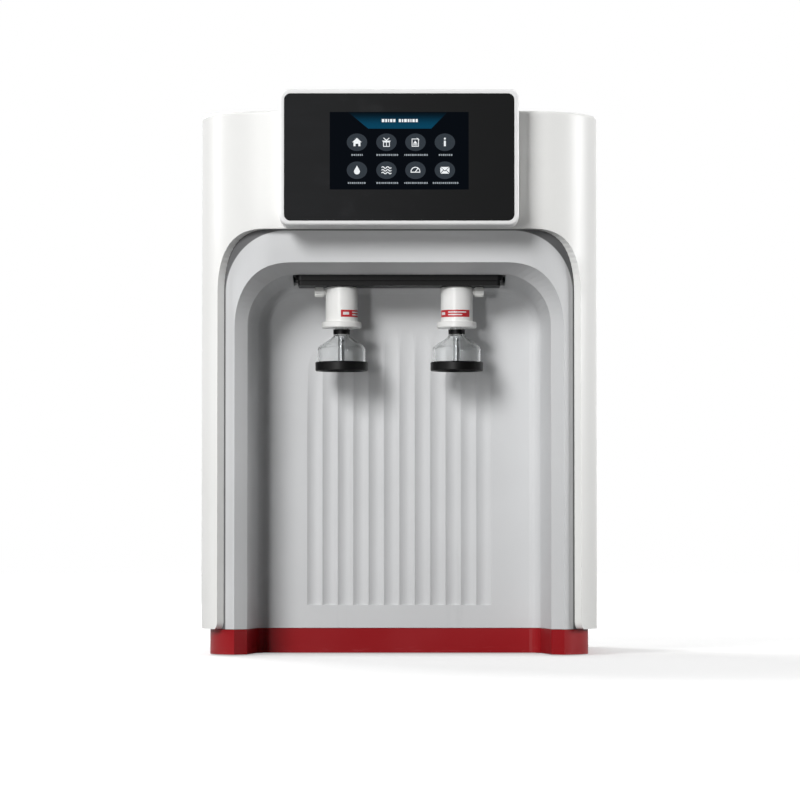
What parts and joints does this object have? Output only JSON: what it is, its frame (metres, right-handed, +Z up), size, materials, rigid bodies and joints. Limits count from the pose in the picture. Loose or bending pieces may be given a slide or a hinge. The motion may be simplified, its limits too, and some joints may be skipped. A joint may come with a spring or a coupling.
{
  "type": "ultrapure_water_system",
  "caption": "Bench-top ultrapure water system with a touch display, a fluted alcove with two bell dispensers, a red plinth and a lift-up service lid",
  "frame": {"origin": "centre of the bounding box's footprint, at the height of the bench under the feet", "axes": "+Z up, +X to the viewer's right, -Y towards the user, so the display and the alcove face -Y"},
  "size_m": [0.4, 0.493, 0.5619],
  "materials": {
    "white_paint": "satin powder coat",
    "grey_moulding": "satin moulded",
    "plinth_red": "semi-gloss moulded",
    "zinc_sheet": "zinc plated sheet",
    "foot_rubber": "matte",
    "white_panel": "fine textured coat",
    "screw_steel": "stainless",
    "display_plastic": "satin",
    "screen_glass": "black printed glass",
    "panel_black": "display panel",
    "board_green": "lacquered board",
    "head_black": "satin moulded",
    "capsule_white": "satin",
    "bell_clear": "clear plastic",
    "ring_black": "satin",
    "fitting_grey": "moulded",
    "collet_blue": "moulded",
    "power_black": "moulded",
    "blade_metal": "plated",
    "rocker_red": "moulded",
    "rack_grey": "moulded",
    "cartridge_white": "moulded",
    "cartridge_dark": "moulded",
    "cartridge_blue": "moulded",
    "pump_plastic": "moulded",
    "motor_paint": "painted",
    "supply_metal": "pressed sheet",
    "sensor_ivory": "moulded",
    "tube_clear": "natural tube"
  },
  "bodies": {
    "frame": {"outer_shell": "white_paint", "front_moulding": "grey_moulding", "plinth": "plinth_red", "base_pan": "zinc_sheet", "feet": "foot_rubber", "bulkhead": "zinc_sheet", "rear_panel": "white_panel", "rear_screws": "screw_steel", "display_housing": "display_plastic", "display_back": "display_plastic", "touch_glass": "screen_glass", "display_panel": "panel_black", "display_board": "board_green", "dispensing_head": "head_black", "filter_capsule_left": "capsule_white", "filter_capsule_right": "capsule_white", "bell_left": "bell_clear", "bell_right": "bell_clear", "neck_ring_left": "ring_black", "neck_ring_right": "ring_black", "rim_ring_left": "ring_black", "rim_ring_right": "ring_black", "outlet_tube_left": "screw_steel", "outlet_tube_right": "screw_steel", "lid_brackets": "zinc_sheet", "tube_ports": "fitting_grey", "port_nuts": "fitting_grey", "mains_inlet": "power_black", "inlet_blades": "blade_metal", "switch_frame": "power_black", "cartridge_rack": "rack_grey", "cartridge_collar": "zinc_sheet", "sediment_cartridge": "cartridge_white", "carbon_cartridge": "cartridge_dark", "deioniser_cartridge": "cartridge_blue", "polishing_cartridge": "cartridge_blue", "membrane_housing_left": "cartridge_white", "membrane_housing_right": "cartridge_white", "membrane_rack": "rack_grey", "booster_pump": "pump_plastic", "pump_motor": "motor_paint", "pump_cradle": "pump_plastic", "lamp_reactor": "screw_steel", "lamp_caps": "pump_plastic", "power_supply": "supply_metal", "control_board": "board_green", "solenoid_valves": "motor_paint", "resistivity_cell": "sensor_ivory", "leak_sensor": "sensor_ivory", "inner_tubing": "tube_clear"},
    "lid": {"service_lid": "white_panel", "lid_hinge_pins": "screw_steel"},
    "vent_knob_left_body": {"vent_knob_left": "capsule_white"},
    "vent_knob_right_body": {"vent_knob_right": "capsule_white"},
    "switch_rocker_body": {"switch_rocker": "rocker_red"},
    "fuse_drawer_body": {"fuse_drawer": "power_black"},
    "feed_collet_body": {"feed_collet": "collet_blue"},
    "drain_collet_body": {"drain_collet": "fitting_grey"},
    "tank_collet_body": {"tank_collet": "collet_blue"},
    "product_collet_body": {"product_collet": "collet_blue"}
  },
  "joints": [
    {"name": "lid_hinge", "type": "hinge", "parent": "frame", "child": "lid", "pos_m": [0, 0.1885, 0.54], "axis": [-1, 0, 0], "range_deg": [0, 88]},
    {"name": "vent_turn_left", "type": "hinge", "parent": "frame", "child": "vent_knob_left_body", "pos_m": [-0.07825, -0.1475, 0.3664], "axis": [-1, 0, 0], "range_deg": [0, 270]},
    {"name": "vent_turn_right", "type": "hinge", "parent": "frame", "child": "vent_knob_right_body", "pos_m": [0.07825, -0.1475, 0.3664], "axis": [1, 0, 0], "range_deg": [0, 270]},
    {"name": "rocker_tilt", "type": "hinge", "parent": "frame", "child": "switch_rocker_body", "pos_m": [0.156, 0.2245, 0.08], "axis": [-1, 0, 0], "range_deg": [0, 18]},
    {"name": "fuse_pull", "type": "slide", "parent": "frame", "child": "fuse_drawer_body", "axis": [0, 1, 0], "range_m": [0, 0.014]},
    {"name": "feed_press", "type": "slide", "parent": "frame", "child": "feed_collet_body", "axis": [0, -1, 0], "range_m": [0, 0.0012]},
    {"name": "drain_press", "type": "slide", "parent": "frame", "child": "drain_collet_body", "axis": [0, -1, 0], "range_m": [0, 0.0012]},
    {"name": "tank_press", "type": "slide", "parent": "frame", "child": "tank_collet_body", "axis": [0, -1, 0], "range_m": [0, 0.0012]},
    {"name": "product_press", "type": "slide", "parent": "frame", "child": "product_collet_body", "axis": [0, -1, 0], "range_m": [0, 0.0012]}
  ]
}
